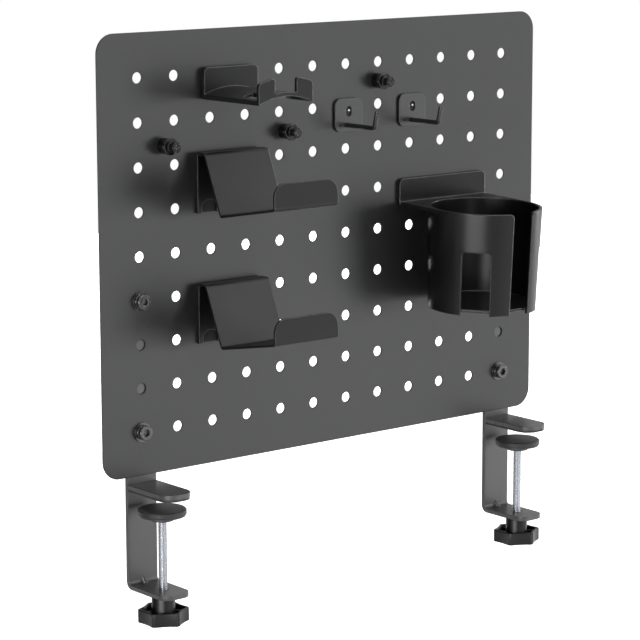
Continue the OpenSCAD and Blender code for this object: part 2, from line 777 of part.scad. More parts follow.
module hanger() {
    plate_full_h = hanger_plate_h + 2 * hanger_plate_r;
    color(plastic_colour)
    on_face(hanger_x, hanger_down) {
        difference() {
            translate([0, -magnet_t, -plate_full_h / 2]) forward(hanger_plate_t)
                rounded_rect(hanger_w, plate_full_h, hanger_plate_r);
            translate([0, 0, saddle_axis]) rotate([90, 0, 0])
                cylinder(r = saddle_middle_r, h = hanger_reach, $fn = saddle_fn);
        }
        saddle();
    }
}

module hanger_magnet() {
    plain_h = hanger_plate_h - saddle_rise - magnet_inset;
    color(magnet_colour)
    on_face(hanger_x, hanger_down) translate([0, 0, -plain_h / 2 - magnet_inset]) forward(magnet_t)
        rounded_rect(hanger_w - 2 * magnet_inset, plain_h, hanger_plate_r - magnet_inset);
}

// Hook, about the middle of its top edge on the sheet's face
module hook_hole_outline() {
    translate([0, -hook_hole_down]) oval(hook_hole_w, hook_hole_h);
}

module hook_plate() {
    color(steel_colour)
    translate([0, -magnet_t, 0]) difference() {
        translate([0, 0, -hook_plate_h / 2]) forward(hook_plate_t)
            rounded_rect(hook_plate_w, hook_plate_h, hook_plate_r);
        translate([0, overrun, 0]) forward(hook_plate_t + 2 * overrun) hook_hole_outline();
        translate([-wire_aside, 0, wire_up - hook_plate_h]) through() {
            cylinder(d = wire_d, h = hook_plate_t + 2 * overrun);
            translate([-hook_eye_aside, 0, 0]) cylinder(d = hook_eye_d, h = hook_plate_t + 2 * overrun);
        }
    }
}

module hook_magnet() {
    color(magnet_colour)
    translate([0, 0, -hook_plate_h / 2]) forward(magnet_t)
        rounded_rect(hook_plate_w - 2 * magnet_inset, hook_plate_h - 2 * magnet_inset,
            hook_plate_r - magnet_inset);
}

// One ring of a bent wire: its middle and its way in [Y, Z], and its radius
function ring_points(ring) =
    [for (k = [0 : wire_sides - 1]) let (across = ring[2] * cos(360 * k / wire_sides),
        at = ring[0] + left_of(ring[1]) * ring[2] * sin(360 * k / wire_sides)) [across, at[0], at[1]]];

module wire_through(rings) {
    last = (len(rings) - 1) * wire_sides;
    polyhedron([for (ring = rings) each ring_points(ring)], concat(
        [[for (k = [0 : wire_sides - 1]) k]],
        [for (from = [0 : wire_sides : last - 1], k = [0 : wire_sides - 1])
            let (next = (k + 1) % wire_sides)
            each [[from + k, from + wire_sides + k, from + next],
                  [from + next, from + wire_sides + k, from + wire_sides + next]]],
        [[for (k = [wire_sides - 1 : -1 : 0]) last + k]]));
}

// The wire runs through the plate, out to its bend and up to its round tip
module hook_wire() {
    r = wire_d / 2;
    turn = 90 - wire_lean;
    bend_reach = wire_bend_r * tan(turn / 2);
    centre = [bend_reach - hook_plate_t - wire_reach, wire_bend_r];
    up_way = along(180 - turn);
    tip_at = centre + wire_bend_r * along(-90 - turn) + (wire_end - bend_reach - r) * up_way;
    bend = [for (k = [0 : bend_steps]) let (a = turn * k / bend_steps)
        [centre + wire_bend_r * along(-90 - a), along(180 - a), r]];
    tip = [for (k = [0 : bend_steps - 1]) let (a = 90 * k / bend_steps)
        [tip_at + up_way * r * sin(a), up_way, r * cos(a)]];
    color(steel_colour)
    translate([-wire_aside, -magnet_t, wire_up - hook_plate_h])
        wire_through(concat([[[0, 0], along(180), r]], bend, tip));
}

// Push pin, standing out from the middle of its foot
function pin_points(shares, r) = [for (s = shares) [s[1] * r, s[0] * pin_len]];

module pin(i) {
    color(plastic_colour)
    on_face(pins_x[i], pins_down[i]) rotate([90, 0, 0]) difference() {
        rotate_extrude() polygon(concat([[0, 0]], pin_points(pin_sleeve_shares, pin_sleeve_d / 2),
            pin_points(pin_crown_shares, pin_crown_d / 2), pin_points(pin_head_shares, pin_head_d / 2),
            [[0, pin_len]]));
        translate([0, 0, -overrun]) cylinder(d = pin_magnet_d, h = pin_magnet_t + overrun);
        for (a = [0, 90]) rotate([0, 0, a])
            translate([-pin_head_d * pin_cross_share / 2, -pin_cross_w / 2, pin_len - pin_cross_depth])
                cube([pin_head_d * pin_cross_share, pin_cross_w, pin_cross_depth + overrun]);
    }
}

module pin_magnet(i) {
    color(magnet_colour)
    on_face(pins_x[i], pins_down[i]) rotate([90, 0, 0]) cylinder(d = pin_magnet_d, h = pin_magnet_t);
}

// Sub-parts of the left and the right clamp
module left_bracket() { at_clamp(-1) bracket(); }
module left_jaw() { at_clamp(-1) jaw(); }
module left_jaw_liner() { at_clamp(-1) jaw_liner(); }
module left_bush() { at_clamp(-1) bush(); }
module left_clamp_screw() { at_clamp(-1) clamp_screw(); }
module left_knob() { at_clamp(-1) knob(); }
module left_pad_disc() { at_clamp(-1) pad_disc(); }
module left_pad_rubber() { at_clamp(-1) pad_rubber(); }
module left_bolts() { at_clamp(-1) bolts(); }
module left_washers() { at_clamp(-1) washers(); }
module left_nuts() { at_clamp(-1) nuts(); }
module right_bracket() { at_clamp(1) bracket(); }
module right_jaw() { at_clamp(1) jaw(); }
module right_jaw_liner() { at_clamp(1) jaw_liner(); }
module right_bush() { at_clamp(1) bush(); }
module right_clamp_screw() { at_clamp(1) clamp_screw(); }
module right_knob() { at_clamp(1) knob(); }
module right_pad_disc() { at_clamp(1) pad_disc(); }
module right_pad_rubber() { at_clamp(1) pad_rubber(); }
module right_bolts() { at_clamp(1) bolts(); }
module right_washers() { at_clamp(1) washers(); }
module right_nuts() { at_clamp(1) nuts(); }

// Sub-parts of the left and the right hook
module left_hook_plate() { on_face(left_hook_x, hook_down) hook_plate(); }
module left_hook_wire() { on_face(left_hook_x, hook_down) hook_wire(); }
module left_hook_magnet() { on_face(left_hook_x, hook_down) hook_magnet(); }
module right_hook_plate() { on_face(right_hook_x, hook_down) hook_plate(); }
module right_hook_wire() { on_face(right_hook_x, hook_down) hook_wire(); }
module right_hook_magnet() { on_face(right_hook_x, hook_down) hook_magnet(); }

// Sub-parts of the three pins
module left_pin() { pin(0); }
module left_pin_magnet() { pin_magnet(0); }
module middle_pin() { pin(1); }
module middle_pin_magnet() { pin_magnet(1); }
module right_pin() { pin(2); }
module right_pin_magnet() { pin_magnet(2); }

pegboard_panel();
left_bracket();
left_jaw();
left_jaw_liner();
left_bush();
left_clamp_screw();
left_knob();
left_pad_disc();
left_pad_rubber();
left_bolts();
left_washers();
left_nuts();
right_bracket();
right_jaw();
right_jaw_liner();
right_bush();
right_clamp_screw();
right_knob();
right_pad_disc();
right_pad_rubber();
right_bolts();
right_washers();
right_nuts();
cup_holder();
cup_holder_magnet();
upper_holder();
upper_holder_magnet();
lower_holder();
lower_holder_magnet();
hanger();
hanger_magnet();
left_hook_plate();
left_hook_wire();
left_hook_magnet();
right_hook_plate();
right_hook_wire();
right_hook_magnet();
left_pin();
left_pin_magnet();
middle_pin();
middle_pin_magnet();
right_pin();
right_pin_magnet();
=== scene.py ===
"""Dresses the clamp-on steel pegboard and its magnetic accessories, and lights them as in the photograph."""

import logging
import math
from dataclasses import dataclass
from enum import Enum
from typing import Callable, Sequence

import bmesh
import bpy
from mathutils import Matrix, Vector


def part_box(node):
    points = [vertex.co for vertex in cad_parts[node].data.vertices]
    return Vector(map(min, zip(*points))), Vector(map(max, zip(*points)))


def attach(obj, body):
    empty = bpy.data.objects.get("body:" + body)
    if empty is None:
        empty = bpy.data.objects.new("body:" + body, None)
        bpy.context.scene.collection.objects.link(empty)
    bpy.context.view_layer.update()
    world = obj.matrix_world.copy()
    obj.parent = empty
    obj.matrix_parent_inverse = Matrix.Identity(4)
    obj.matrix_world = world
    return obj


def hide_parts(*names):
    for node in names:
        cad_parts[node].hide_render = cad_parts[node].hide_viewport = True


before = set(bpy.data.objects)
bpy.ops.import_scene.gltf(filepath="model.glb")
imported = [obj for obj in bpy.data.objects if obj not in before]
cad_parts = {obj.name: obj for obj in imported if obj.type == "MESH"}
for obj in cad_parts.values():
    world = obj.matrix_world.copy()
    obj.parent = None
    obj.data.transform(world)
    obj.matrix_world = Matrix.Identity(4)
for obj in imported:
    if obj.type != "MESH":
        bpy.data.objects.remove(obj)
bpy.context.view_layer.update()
log = logging.getLogger("pegboard")

MM = 0.001
WHITE = (1, 1, 1, 1)
Point = tuple[float, float, float]
Loop = list[Point]
Colour = tuple[float, float, float]
Steps = tuple[tuple[float, float], ...]


class Side(Enum):
    """The two desk clamps, and the two wire hooks."""

    LEFT = "left"
    RIGHT = "right"


class Surface(Enum):
    """How a finish's grain is made."""

    ORANGE_PEEL = "orange_peel"
    SPARK = "spark"
    DRAWN = "drawn"


class Reach(Enum):
    """What a lamp shows on: matt colour alone, or gloss alone."""

    COLOUR = "colour"
    GLOSS = "gloss"


# ---------------------------------------------------------------- node helpers


class Nodes:
    """The node tree of a material or a world, with short calls that add and join nodes."""

    def __init__(self, owner: bpy.types.Material | bpy.types.World) -> None:
        """Starts on owner with an empty tree."""
        owner.use_nodes = True
        self.tree = owner.node_tree
        self.tree.nodes.clear()

    def add(self, kind: str, links: dict[str, bpy.types.NodeSocket] | None = None,
            **settings: object) -> bpy.types.Node:
        """Adds a node.

        Args:
            kind: the node's type, without the ShaderNode at its front.
            links: sockets that feed the node's named inputs.
            settings: attributes of the node, or input values, with spaces written as underscores.

        Returns:
            The new node.
        """
        node = self.tree.nodes.new("ShaderNode" + kind)
        for key, value in settings.items():
            if hasattr(node, key):
                setattr(node, key, value)
            else:
                node.inputs[key.replace("_", " ")].default_value = value
        for key, socket in (links or {}).items():
            self.tree.links.new(socket, node.inputs[key])
        return node

    def feed(self, node: bpy.types.Node, *values: object) -> None:
        """Links or writes values, each a socket or a plain value, to node's inputs in order."""
        for slot, value in zip(node.inputs, values):
            if isinstance(value, bpy.types.NodeSocket):
                self.tree.links.new(value, slot)
            else:
                slot.default_value = value

    def maths(self, operation: str, a: object, b: object) -> bpy.types.NodeSocket:
        """Adds a Math node on two sockets or numbers, and returns its result."""
        node = self.add("Math", operation=operation)
        self.feed(node, a, b)
        return node.outputs[0]

    def ramp(self, factor: bpy.types.NodeSocket, low: float, high: float,
             at: tuple[float, float]) -> bpy.types.NodeSocket:
        """Maps factor from at onto low to high, and returns the result."""
        node = self.add("MapRange", {"Value": factor}, clamp=True)
        node.inputs["From Min"].default_value, node.inputs["From Max"].default_value = at
        node.inputs["To Min"].default_value, node.inputs["To Max"].default_value = low, high
        return node.outputs["Result"]

    def noise(self, size: float, detail: float, coords: bpy.types.NodeSocket) -> bpy.types.NodeSocket:
        """Adds noise whose lumps are about size metres across, and returns its factor."""
        return self.add("TexNoise", {"Vector": coords}, Scale=1 / size, Detail=detail).outputs[0]

    def coords(self) -> bpy.types.NodeSocket:
        """The object's own coordinates, in metres."""
        return self.add("TexCoord").outputs["Object"]

    def dot(self, a: bpy.types.NodeSocket, b: bpy.types.NodeSocket | Point) -> bpy.types.NodeSocket:
        """The dot product of a and b."""
        node = self.add("VectorMath", operation="DOT_PRODUCT")
        self.feed(node, a, b)
        return node.outputs["Value"]

    def mixed(self, patches: bpy.types.NodeSocket, speckle: bpy.types.NodeSocket,
              share: float) -> bpy.types.NodeSocket:
        """The sum of share of patches and the rest of speckle."""
        return self.maths("ADD", self.maths("MULTIPLY", patches, share),
                          self.maths("MULTIPLY", speckle, round(1 - share, 6)))

    def blend(self, factor: bpy.types.NodeSocket, a: object, b: Colour) -> bpy.types.NodeSocket:
        """Mixes a, a colour or a socket, into colour b by factor, and returns the result."""
        node = self.add("Mix", {"Factor": factor}, data_type="RGBA")
        if isinstance(a, bpy.types.NodeSocket):
            self.tree.links.new(a, node.inputs[6])
        else:
            node.inputs[6].default_value = (*a, 1)
        node.inputs[7].default_value = (*b, 1)
        return node.outputs[2]

    def shade(self, factor: bpy.types.NodeSocket, a: bpy.types.Node, b: bpy.types.Node) -> bpy.types.Node:
        """Mixes shader a into shader b by factor."""
        mix = self.add("MixShader", {"Fac": factor})
        self.tree.links.new(a.outputs[0], mix.inputs[1])
        self.tree.links.new(b.outputs[0], mix.inputs[2])
        return mix


@dataclass(frozen=True)
class Finish:
    """A surface: its colour, gloss, grain and painted edge lines. Lengths are in metres.

    The colour varies by patch_depth and the roughness by rough_spread, in patches that are patch
    across. The second colour is painted light on edges of radius edge_r, as far as its share lets it:
    a painted highlight on most finishes, painted shade at the board's hole rims and edges. Each span
    is the part of a noise or of a direction over which its effect comes in.
    """

    name: str
    slot: str
    colour: Colour
    # The edge colour is painted light: a painted highlight along the edges on most finishes, painted shade at
    # the board's hole rims and edges.
    painted_edge_colour: Colour
    roughness: float
    gloss: float = 0.5
    metal: float = 0.0
    coat: float = 0.0
    grain: Surface = Surface.ORANGE_PEEL
    grain_size: float = 0.0006
    grain_depth: float = 0.00002
    patch: float = 0.05
    patch_depth: float = 0.12
    rough_spread: float = 0.05
    edge_r: float = 0.0004
    painted_edge_share: float = 0.4
    edge_span: tuple[float, float] = (0.80, 0.985)
    edge_samples: int = 6
    coat_roughness: float = 0.12
    colour_patch: float = 0.7
    rough_patch: float = 0.6
    noise_span: tuple[float, float] = (0.3, 0.7)
    # The painted edge lines come in patches, and are kept to edges that face forward and away from top faces,
    # following where the light falls.
    edge_patch_size: float = 6 * MM
    edge_patch_span: tuple[float, float] = (0.35, 0.65)
    edge_patch_least: float = 0.5
    front_span: tuple[float, float] = (-0.6, -0.1)
    back_edge_paint: float = 0.15
    top_span: tuple[float, float] = (0.5, 0.7)
    top_edge_paint: float = 0.1

    def material(self) -> bpy.types.Material:
        """Builds the node material, or returns it if it is built already.

        Returns:
            The material, with colour and roughness patches, grain, rounded edges and painted edge lines on
            them.
        """
        if self.name in bpy.data.materials:
            return bpy.data.materials[self.name]
        made = bpy.data.materials.new(self.name)
        n = Nodes(made)
        coords = n.coords()
        patches = n.noise(self.patch, 3, coords)
        speckle = n.noise(self.grain_size * 3, 2, coords)
        rounded = n.add("Bevel", Radius=self.edge_r, samples=self.edge_samples).outputs[0]
        dull = tuple(c * (1 - self.patch_depth) for c in self.colour)
        bright = tuple(c * (1 + self.patch_depth) for c in self.colour)
        tone = n.ramp(n.mixed(patches, speckle, self.colour_patch), 0, 1, self.noise_span)
        colour = n.blend(self._painted_edges(n, coords, rounded), n.blend(tone, dull, bright), self.painted_edge_colour)
        rough = n.ramp(n.mixed(patches, speckle, self.rough_patch), self.roughness - self.rough_spread,
                       self.roughness + self.rough_spread, self.noise_span)
        bump = n.add("Bump", {"Height": self._grain(n, coords), "Normal": rounded},
                     Strength=1.0, Distance=self.grain_depth).outputs[0]
        shader = n.add("BsdfPrincipled", {"Base Color": colour, "Roughness": rough, "Normal": bump})
        shader.inputs["Specular IOR Level"].default_value = self.gloss
        shader.inputs["Metallic"].default_value = self.metal
        shader.inputs["Coat Weight"].default_value = self.coat
        shader.inputs["Coat Roughness"].default_value = self.coat_roughness
        n.add("OutputMaterial", {"Surface": shader.outputs[0]})
        return made

    def _painted_edges(self, n: Nodes, coords: bpy.types.NodeSocket,
              rounded: bpy.types.NodeSocket) -> bpy.types.NodeSocket:
        """How much of the painted edge colour shows, from 0 to 1: painted highlight on most finishes, painted
        shade on the board.

        Args:
            n: the material's tree.
            coords: the object's coordinates.
            rounded: the normal with its edges rounded.

        Returns:
            The share of painted edge light, in patches along the edges, most of it where the piece faces
            forward and little on top faces, where the light falls.
        """
        flat = n.add("NewGeometry").outputs["Normal"]
        at_edge = n.ramp(n.dot(rounded, flat), 1.0, 0.0, self.edge_span)
        ways = n.add("SeparateXYZ", {"Vector": flat}).outputs
        # Painted edge light is kept to forward-facing edges and dimmed on top faces, following where the
        # light falls.
        forward_facing = n.maths("MULTIPLY", n.ramp(ways["Y"], 1.0, self.back_edge_paint, self.front_span),
                          n.ramp(ways["Z"], 1.0, self.top_edge_paint, self.top_span))
        patches = n.ramp(n.noise(self.edge_patch_size, 4, coords), self.edge_patch_least, 1.0, self.edge_patch_span)
        edge_paint_mask = n.maths("MULTIPLY", patches, forward_facing)
        return n.maths("MULTIPLY", n.maths("MULTIPLY", at_edge, edge_paint_mask), self.painted_edge_share)

    def _grain(self, n: Nodes, coords: bpy.types.NodeSocket) -> bpy.types.NodeSocket:
        """The height of the finish's grain, from 0 to 1."""
        if self.grain is Surface.SPARK:
            cells = n.add("TexVoronoi", {"Vector": coords}, Scale=1 / self.grain_size)
            return n.maths("ADD", cells.outputs["Distance"], n.noise(self.grain_size / 2, 2, coords))
        if self.grain is Surface.DRAWN:
            bands = n.add("TexWave", {"Vector": coords}, Scale=1 / self.grain_size,
                          Distortion=2.0, Detail=2.0)
            return bands.outputs[1]
        return n.noise(self.grain_size, 3, coords)

    def on(self, piece: bpy.types.Object) -> None:
        """Gives piece this finish, all over."""
        piece.data.materials.clear()
        piece.data.materials.append(self.material())


# The second colour of each finish is painted edge light: a painted dark rim at the board's holes and edges,
# and a painted highlight along the edges of the other finishes.
POWDER_COAT = Finish(
    "board_powder_coat", "powder_coat",
    (0.053, 0.0535, 0.0545), (0.008, 0.008, 0.0085), 0.32, gloss=0.54, grain_size=0.0009,
    grain_depth=0.000012, patch=0.09, patch_depth=0.05, edge_r=0.0014, painted_edge_share=0.9,
    edge_span=(0.90, 0.999))
# The clamps wear the board's powder coat; its colour is made lighter here to paint in the brighter light that
# falls on the clamps below the board.
LIGHTENED_CLAMP_COAT = Finish(
    "clamp_powder_coat_lightened", "clamp_coat",
    (0.084, 0.0845, 0.0855), (0.26, 0.26, 0.263), 0.31, gloss=0.85, grain_size=0.0009,
    grain_depth=0.000012, patch=0.04, patch_depth=0.06, edge_r=0.0010, painted_edge_share=0.2)
HOLDER_COAT = Finish(
    "holder_powder_coat", "clamp_coat",
    (0.010, 0.0103, 0.0107), (0.28, 0.28, 0.285), 0.36, gloss=0.38, grain_size=0.0008,
    grain_depth=0.000008, patch=0.04, patch_depth=0.06, rough_spread=0.03, edge_r=0.0014, painted_edge_share=0.8)
HANGER_PLASTIC = Finish(
    "hanger_satin_plastic", "black_plastic",
    (0.012, 0.0123, 0.0127), (0.40, 0.40, 0.405), 0.36, gloss=0.36, grain=Surface.SPARK,
    grain_size=0.0005, grain_depth=0.000004, patch=0.04, patch_depth=0.06, rough_spread=0.03,
    edge_r=0.0016, painted_edge_share=0.8)
HOOK_COAT = Finish(
    "hook_powder_coat", "clamp_coat",
    (0.056, 0.0565, 0.0575), (0.16, 0.16, 0.163), 0.34, gloss=0.66, grain_size=0.0008,
    grain_depth=0.00001, patch=0.02, patch_depth=0.06, edge_r=0.0010, painted_edge_share=0.6)
WIRE_COAT = Finish(
    "wire_powder_coat", "clamp_coat",
    (0.014, 0.014, 0.0145), (0.12, 0.12, 0.125), 0.22, gloss=0.70, grain_size=0.0006,
    grain_depth=0.00001, patch=0.02, patch_depth=0.08, edge_r=0.0002, painted_edge_share=0.3)
CUP_PLASTIC = Finish(
    "cup_satin_plastic", "black_plastic",
    (0.005, 0.005, 0.0055), (0.30, 0.30, 0.305), 0.30, gloss=0.38, grain=Surface.SPARK,
    grain_size=0.0005, grain_depth=0.000002, patch=0.05, patch_depth=0.07, rough_spread=0.012,
    edge_r=0.0018, painted_edge_share=0.8)
KNOB_PLASTIC = Finish(
    "knob_moulded_plastic", "black_plastic",
    (0.008, 0.008, 0.0085), (0.34, 0.34, 0.345), 0.34, gloss=0.46, grain=Surface.SPARK,
    grain_size=0.0005, grain_depth=0.00001, patch=0.03, patch_depth=0.08, rough_spread=0.03,
    edge_r=0.0009, painted_edge_share=0.7)
# The pins' pale edge colour paints a glint on their rims.
PIN_PLASTIC = Finish(
    "pin_gloss_plastic", "gloss_plastic",
    (0.003, 0.003, 0.0035), (0.55, 0.55, 0.555), 0.12, gloss=0.45, grain_size=0.0008,
    grain_depth=0.000001, patch=0.02, patch_depth=0.1, rough_spread=0.02, edge_r=0.0005, painted_edge_share=0.9)
BLACK_STEEL = Finish(
    "blackened_steel", "black_steel",
    (0.036, 0.036, 0.038), (0.20, 0.20, 0.21), 0.24, gloss=0.9, coat=0.7, grain_size=0.0005,
    grain_depth=0.00001, patch=0.015, patch_depth=0.12, edge_r=0.0003, painted_edge_share=0.5)
PAD_STEEL = Finish(
    "pad_black_steel", "black_steel",
    (0.055, 0.055, 0.057), (0.20, 0.20, 0.205), 0.36, gloss=0.75, grain_size=0.0006, grain_depth=0.00001,
    patch=0.02, patch_depth=0.1, edge_r=0.0006, painted_edge_share=0.4)
ZINC = Finish(
    "bright_zinc", "zinc",
    (0.66, 0.68, 0.72), (0.60, 0.61, 0.65), 0.22, metal=1.0, grain_size=0.0004, grain_depth=0.000001,
    patch=0.03, patch_depth=0.03, rough_spread=0.01, edge_r=0.0001, painted_edge_share=0.05)
RUBBER = Finish(
    "black_rubber", "rubber",
    (0.044, 0.044, 0.044), (0.10, 0.10, 0.10), 0.50, gloss=0.5, grain=Surface.SPARK, grain_size=0.0007,
    grain_depth=0.00002, patch=0.02, patch_depth=0.12, edge_r=0.0008, painted_edge_share=0.3)
MAGNET = Finish(
    "magnet_sheet", "magnet",
    (0.022, 0.021, 0.020), (0.06, 0.06, 0.058), 0.62, gloss=0.35, grain=Surface.DRAWN, grain_size=0.002,
    grain_depth=0.00001, patch=0.02, patch_depth=0.1, edge_r=0.0002, painted_edge_share=0.3)
DISC_MAGNET = Finish(
    "plated_disc_magnet", "disc_magnet",
    (0.55, 0.55, 0.56), (0.75, 0.75, 0.76), 0.22, metal=1.0, grain_size=0.0004, grain_depth=0.000005,
    patch=0.006, patch_depth=0.06, edge_r=0.0002, painted_edge_share=0.4)


# ---------------------------------------------------------------- mesh helpers


# The distance in metres within which two points are one, in a new piece and in a CAD node, and the
# angle in degrees above which an edge of a CAD node stays sharp.
SAME_POINT = 1e-7
CAD_SAME_POINT = 1e-6
CAD_SHARP = 28


class Form:
    """A mesh built from lofted loops of points, in the row frame's metres."""

    def __init__(self, place: Matrix | None = None) -> None:
        """Starts an empty form whose points go through place."""
        self.place = place or Matrix.Identity(4)
        self.points: list[Point] = []
        self.faces: list[tuple[int, ...]] = []

    def loft(self, loops: Sequence[Loop], ends: bool = True, ring: bool = False) -> None:
        """Joins loops of equally many points into a skin.

        Args:
            loops: the loops, in order.
            ends: whether the first and the last loop are closed with a face.
            ring: whether the last loop joins the first.
        """
        count, base = len(loops[0]), len(self.points)
        for loop in loops:
            self.points.extend(tuple(self.place @ Vector(p)) for p in loop)
        pairs = [(i, i + 1) for i in range(len(loops) - 1)] + ([(len(loops) - 1, 0)] if ring else [])
        for a, b in pairs:
            for k in range(count):
                nxt = (k + 1) % count
                self.faces.append((base + a * count + k, base + a * count + nxt,
                                   base + b * count + nxt, base + b * count + k))
        if ends and not ring:
            self.faces.append(tuple(base + k for k in reversed(range(count))))
            self.faces.append(tuple(base + (len(loops) - 1) * count + k for k in range(count)))

    def turned(self, rings: Sequence[tuple[object, object]], sides: int, ends: bool = True,
               ring: bool = False) -> None:
        """Lofts rings about the Z axis.

        Args:
            rings: pairs of radius and height, in metres, each a number or a function of the angle.
            sides: points in each ring.
            ends: whether the two ends are closed.
            ring: whether the last ring joins the first.
        """
        loops: list[Loop] = []
        for radius, height in rings:
            loop: Loop = []
            for k in range(sides):
                a = 2 * math.pi * k / sides
                r = radius(a) if callable(radius) else radius
                z = height(a) if callable(height) else height
                loop.append((r * math.cos(a), r * math.sin(a), z))
            loops.append(loop)
        self.loft(loops, ends, ring)

    def block(self, low: Point, high: Point, taper: float = 0.0) -> None:
        """Adds a block from low to high, whose top is narrower by taper on each side of X and Y."""
        (x0, y0, z0), (x1, y1, z1) = low, high
        t = taper
        self.loft([[(x0, y0, z0), (x1, y0, z0), (x1, y1, z0), (x0, y1, z0)],
                   [(x0 + t, y0 + t, z1), (x1 - t, y0 + t, z1), (x1 - t, y1 - t, z1), (x0 + t, y1 - t, z1)]])

    def thread(self, major: float, minor: float, pitch: float, low: float, high: float,
               sides: int) -> None:
        """Adds a helical thread about the Z axis, over its own core.

        Args:
            major: the crest's radius.
            minor: the root's radius.
            pitch: the rise of one turn.
            low: the height where it starts.
            high: the height that it doesn't pass.
            sides: points in each turn.
        """
        crest_from, crest_to, root_from = 0.36, 0.50, 0.86
        profile = ((minor, 0.0), (major, crest_from), (major, crest_to), (minor, root_from))
        turns = int((high - low) / pitch) - 1
        rows = turns * len(profile)
        base = len(self.points)
        for row in range(rows + len(profile)):
            r, share = profile[row % len(profile)]
            for k in range(sides):
                a = 2 * math.pi * k / sides
                z = low + pitch * (row // len(profile) + share + k / sides)
                z = min(z, high)
                self.points.append(tuple(self.place @ Vector((r * math.cos(a), r * math.sin(a), z))))
        for row in range(rows - 1):
            for k in range(sides):
                here, up = base + row * sides + k, base + (row + 1) * sides + k
                if k < sides - 1:
                    self.faces.append((here, here + 1, up + 1, up))
                else:
                    after = base + (row + len(profile)) * sides
                    self.faces.append((here, after, after + sides, up))
        core = minor * 0.99
        self.turned([(core, low), (core, high)], sides)

    def tube(self, path: Sequence[Vector], radii: Sequence[float], sides: int) -> None:
        """Sweeps a round tube along a path that lies in one upright plane."""
        loops: list[Loop] = []
        across = Vector((1, 0, 0))
        for i, here in enumerate(path):
            way = (path[min(i + 1, len(path) - 1)] - path[max(i - 1, 0)]).normalized()
            up = way.cross(across).normalized()
            loops.append([tuple(here + radii[i] * (across * math.cos(a) + up * math.sin(a)))
                          for a in (2 * math.pi * k / sides for k in range(sides))])
        self.loft(loops)

    def piece(self, name: str, sharp: float = 32.0) -> bpy.types.Object:
        """Makes the object.

        Args:
            name: the piece's name.
            sharp: the angle in degrees above which an edge stays sharp.

        Returns:
            The object, linked to the scene, with smooth faces between its sharp edges.
        """
        mesh = bpy.data.meshes.new(name)
        mesh.from_pydata(self.points, [], self.faces)
        work = bmesh.new()
        work.from_mesh(mesh)
        bmesh.ops.remove_doubles(work, verts=work.verts, dist=SAME_POINT)
        bmesh.ops.recalc_face_normals(work, faces=work.faces)
        for face in work.faces:
            face.smooth = True
        for edge in work.edges:
            if len(edge.link_faces) == 2 and edge.calc_face_angle(0.0) > math.radians(sharp):
                edge.smooth = False
        work.to_mesh(mesh)
        work.free()
        item = bpy.data.objects.new(name, mesh)
        bpy.context.scene.collection.objects.link(item)
        return item


def hexagon(across_flats: float) -> Callable[[float], float]:
    """The radius of a hexagon at an angle, with a corner at angle 0."""
    half = math.pi / 6

    def radius(a: float) -> float:
        """Radius at angle a."""
        turn = (a + half) % (2 * half) - half
        return across_flats / 2 / math.cos(half - abs(turn))
    return radius


def stepped(steps: Steps, r: float, z: float) -> list[tuple[object, object]]:
    """Rings at steps of radius and height, measured from r and z."""
    return [(r + dr, z + dz) for dr, dz in steps]


def upright(x: float, z: float, y: float = 0.0) -> Matrix:
    """A place whose Z axis points forward, out of the board's face."""
    return Matrix.Translation((x, y, z)) @ Matrix.Rotation(math.radians(90), 4, "X")


def settle(piece: bpy.types.Object, finish: Finish, body: str, *nodes: str) -> None:
    """Dresses a new piece, sets it on its CAD body and lets it stand for CAD nodes.

    Args:
        piece: the new piece, in place.
        finish: its finish.
        body: the CAD body that it rides on.
        nodes: the CAD nodes that it replaces, if any.
    """
    finish.on(piece)
    if nodes:
        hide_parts(*nodes)
    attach(piece, body)
    log.info("%s: %d faces, rides on %s", piece.name, len(piece.data.polygons), body)


def dress(finish: Finish, *nodes: str) -> None:
    """Gives CAD nodes their finish, with smooth faces between sharp edges."""
    for name in nodes:
        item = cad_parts[name]
        finish.on(item)
        weld = item.modifiers.new("joined_skin", "WELD")
        weld.merge_threshold = CAD_SAME_POINT
        split = item.modifiers.new("sharp_edges", "EDGE_SPLIT")
        split.split_angle = math.radians(CAD_SHARP)
        for face in item.data.polygons:
            face.use_smooth = True
        even = item.modifiers.new("even_shading", "WEIGHTED_NORMAL")
        even.keep_sharp = True
        log.info("%s: %s", name, finish.name)


def middle_of(node: str) -> Vector:
    """The middle of a CAD node's box."""
    low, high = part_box(node)
    return (Vector(low) + Vector(high)) / 2


# ---------------------------------------------------------------- the object


